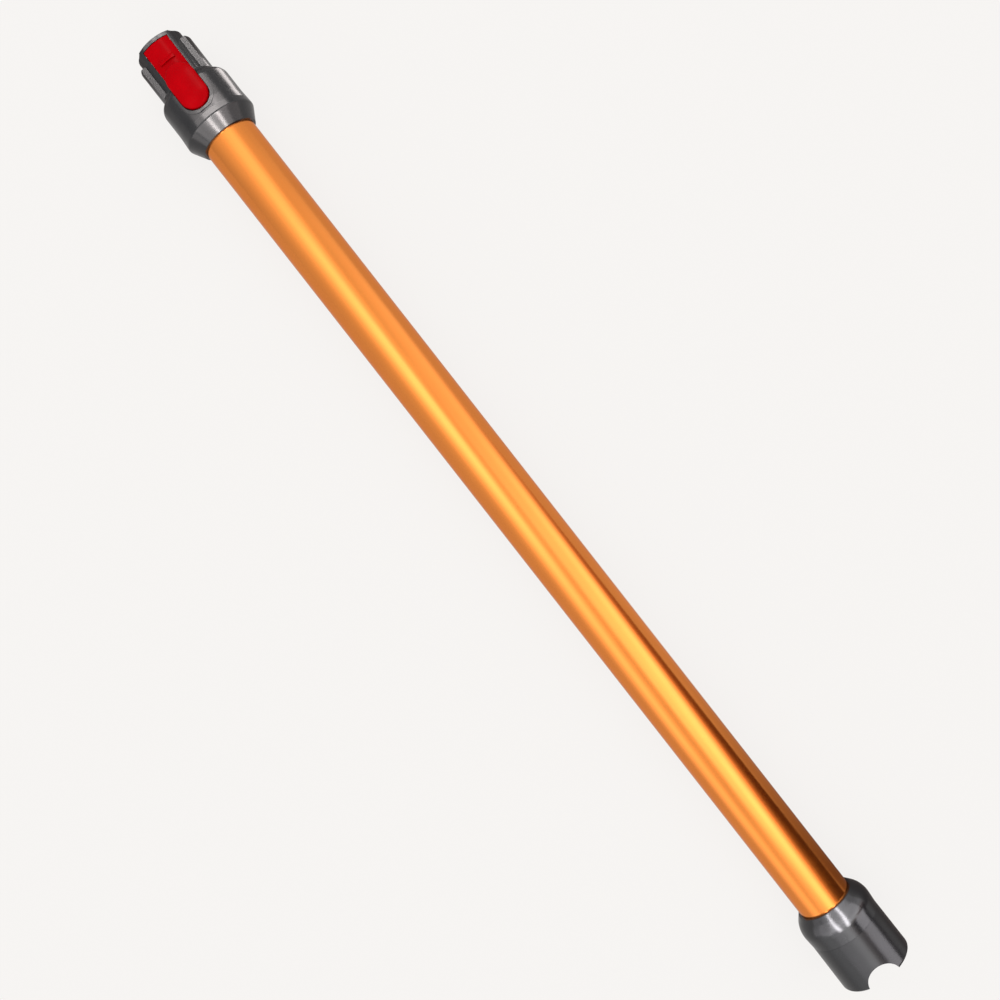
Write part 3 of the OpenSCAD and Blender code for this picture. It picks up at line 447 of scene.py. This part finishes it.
def make_world():
    world = bpy.data.worlds.new("studio_light")
    world.use_nodes = True
    bpy.context.scene.world = world
    tree = world.node_tree
    tree.nodes.clear()
    direction = put(tree, "TexCoord").outputs["Generated"]
    parts = put(tree, "SeparateXYZ", {0: direction}).outputs
    across = parts["X"]
    angle = calc(tree, "DEGREES", calc(tree, "ARCTAN2", parts["Y"], parts["Z"]))
    light = mix_values(tree, spread(tree, angle, -100.0, -50.0), by_station(tree, across, FILL_LOW),
                       FILL_HIGH)

    away = calc(tree, "SUBTRACT", angle, by_station(tree, across, LEFT_BOX["middle"]))
    near, far = by_station(tree, across, LEFT_BOX["near"]), by_station(tree, across, LEFT_BOX["far"])
    light = mix_values(tree, bell(tree, away, near, far), light,
                       by_station(tree, across, LEFT_BOX["level"]))

    inside = calc(tree, "SUBTRACT", angle, by_station(tree, across, RIGHT_BOX["edge"]))
    light = mix_values(tree, ease(tree, inside, -RIGHT_BOX["soft"], RIGHT_BOX["soft"]), light,
                       by_station(tree, across, RIGHT_BOX["level"]))

    past = calc(tree, "SUBTRACT", angle, by_station(tree, across, RIDGE["middle"]))
    light = mix_values(tree, bell(tree, past, 1000.0, RIDGE["near"]), light,
                       by_station(tree, across, RIDGE["level"]))

    flagged = ease(tree, past, FLAG["starts"], FLAG["ends"])
    light = mix_values(tree, flagged, light, by_station(tree, across, FLAG["level"]))
    warmth = calc(tree, "MULTIPLY", flagged, by_station(tree, across, FLAG["warmth"]))
    tint = mix_colours(tree, warmth, grey(1.0), (*FLAG_TINT, 1.0))

    rays = put(tree, "LightPath").outputs
    plain = calc(tree, "MAXIMUM", rays["Is Camera Ray"], rays["Is Transmission Ray"])
    strength = mix_values(tree, plain, light, 1.0)
    colour = mix_colours(tree, plain, tint, (*BACKGROUND, 1.0))
    shown = put(tree, "Background", {"Color": colour, "Strength": strength}).outputs[0]
    put(tree, "OutputWorld", {"Surface": shown})
    return world


make_world()


# Lamps that only the dark mouldings take, for the streaks and sheens on their glossy skin

# Each lamp is a rectangle: the pieces that it lights, its centre, the point that it faces (straight
# down if none), its length along X, its width, its turn in degrees and its brightness.
LAMPS = {
    "upper_streak_left": (("upper_ring",), (0.46, -0.25, 1.2), None, 0.80, 0.22, -18.0, 20.0),
    "upper_streak_right": (("upper_ring",), (0.50, 0.42, 1.2), None, 0.80, 0.22, 25.0, 20.0),
    "upper_sheen": (("upper_ring",), (0.65, 0.50, 1.25), None, 1.10, 2.6, 0.0, 3.6),
    "upper_sheen_left": (("upper_ring",), (0.80, -1.90, 1.25), None, 1.60, 2.2, 0.0, 2.2),
    "lower_streak_left": (("lower_ring",), (-0.40, -0.545, 1.2), None, 2.50, 0.20, 9.8, 24.0),
    "lower_streak_right": (("lower_ring",), (-0.40, 0.30, 1.2), None, 2.40, 0.20, -4.3, 24.0),
    "lower_sheen": (("lower_ring",), (-0.975, 1.05, 1.25), None, 3.25, 4.1, 0.0, 3.4),
    "lower_fill_left": (("lower_ring",), (-0.05, -1.10, 0.15), (0.32, -0.015, 0.043), 1.10, 0.60, 0.0, 1.1),
    "lower_fill_right": (("lower_ring",), (-0.05, 1.10, 0.12), (0.32, 0.015, 0.043), 1.10, 0.60, 0.0, 1.1),
    "lower_sheen_left": (("lower_ring",), (-0.60, -2.30, 1.25), None, 2.80, 2.6, 0.0, 2.0),
    "shell_top": (("socket_shell", "lower_ring"), (1.05, -0.60, 1.2), None, 0.90, 1.80, 0.0, 1.2),
    "shell_band": (("socket_shell", "lower_ring"), (0.89, 0.91, 0.64), (0.35, 0.01, 0.05),
                   0.50, 0.74, 0.0, 4.2),
    "rail_softbox": (("plug_body",), (-0.86, 0.17, 1.2), None, 0.12, 0.40, 0.0, 13.0),
    "collar_softbox": (("plug_body",), (-1.24, 0.25, 1.2), None, 0.42, 1.60, 0.0, 10.5),
    "collar_softbox_far": (("plug_body", "upper_ring"), (-1.40, 1.62, 1.2), None, 0.50, 1.90, 21.0, 6.2),
    "ring_softbox": (("upper_ring",), (-0.98, 0.20, 1.2), None, 0.40, 1.30, 0.0, 9.5),
    "ring_softbox_left": (("plug_body", "upper_ring"), (-1.15, -1.00, 1.2), None, 0.50, 1.10, 0.0, 2.8),
    "upper_fill_left": (("upper_ring",), (0.10, -1.10, 0.10), (-0.30, -0.015, 0.045), 0.60, 0.50, 0.0, 1.1),
    "upper_fill_right": (("upper_ring",), (0.15, 1.08, 0.20), (-0.30, 0.015, 0.045), 0.60, 0.90, 0.0, 1.3),
    "button_glint": (("release_button",), (-0.88, 0.54, 1.2), None, 0.30, 0.16, 0.0, 20.0),
    "collar_kicker": (("plug_body",), (-0.335, 0.066, 0.006), (-0.32, 0.022, 0.037),
                      0.06, 0.026, 0.0, 6.0),
}


# Colour of each lamp by the first word of its name; the light is warmer at the machine end
WARM = (1.07, 0.99, 0.97)
COOL = (1.02, 0.985, 1.035)
LAMP_COLOURS = {"upper": WARM, "ring": WARM, "collar": WARM, "rail": WARM, "button": WARM,
                "lower": COOL, "shell": COOL}


def make_lamp(name, receivers, place, faces, length, width, turn, brightness):
    data = bpy.data.lights.new(name, "AREA")
    data.shape = "RECTANGLE"
    data.size, data.size_y = length, width
    data.energy = math.pi * length * width * brightness
    data.color = LAMP_COLOURS[name.split("_")[0]]
    lamp = bpy.data.objects.new(name, data)
    bpy.context.scene.collection.objects.link(lamp)
    back = Vector((0, 0, 1)) if faces is None else (Vector(place) - Vector(faces)).normalized()
    side = (Vector((1, 0, 0)) - back.x * back).normalized()
    facing = Matrix((side, back.cross(side), back)).transposed().to_4x4()
    lamp.matrix_world = Matrix.Translation(place) @ facing @ Matrix.Rotation(math.radians(turn), 4, "Z")
    lamp.visible_camera = False
    lamp.visible_diffuse = False
    lit = bpy.data.collections.new(name + "_receivers")
    for receiver in receivers:
        lit.objects.link(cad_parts[receiver])
    lamp.light_linking.receiver_collection = lit
    return lamp


for lamp_name, settings in LAMPS.items():
    make_lamp(lamp_name, *settings)


# Camera, looking down on the wand as in the photograph

CAMERA_TILT = math.radians(2.8)
CAMERA_TURN = math.radians(51.98)
CAMERA_PLACE = Vector((-0.0103, 0.0295, 0.7599))
LENS_MM = 41.66


def make_camera():
    data = bpy.data.cameras.new("camera")
    data.lens = LENS_MM
    data.sensor_width = 36.0
    camera = bpy.data.objects.new("camera", data)
    bpy.context.scene.collection.objects.link(camera)
    back = Vector((0, math.sin(CAMERA_TILT), math.cos(CAMERA_TILT)))
    level = Vector((0, math.cos(CAMERA_TILT), -math.sin(CAMERA_TILT)))
    along = Vector((1, 0, 0))
    right = math.cos(CAMERA_TURN) * along + math.sin(CAMERA_TURN) * level
    up = -math.sin(CAMERA_TURN) * along + math.cos(CAMERA_TURN) * level
    turn = Matrix((right, up, back)).transposed().to_4x4()
    camera.matrix_world = Matrix.Translation(CAMERA_PLACE) @ turn
    bpy.context.scene.camera = camera
    return camera


make_camera()

bpy.context.scene.view_settings.view_transform = "Standard"
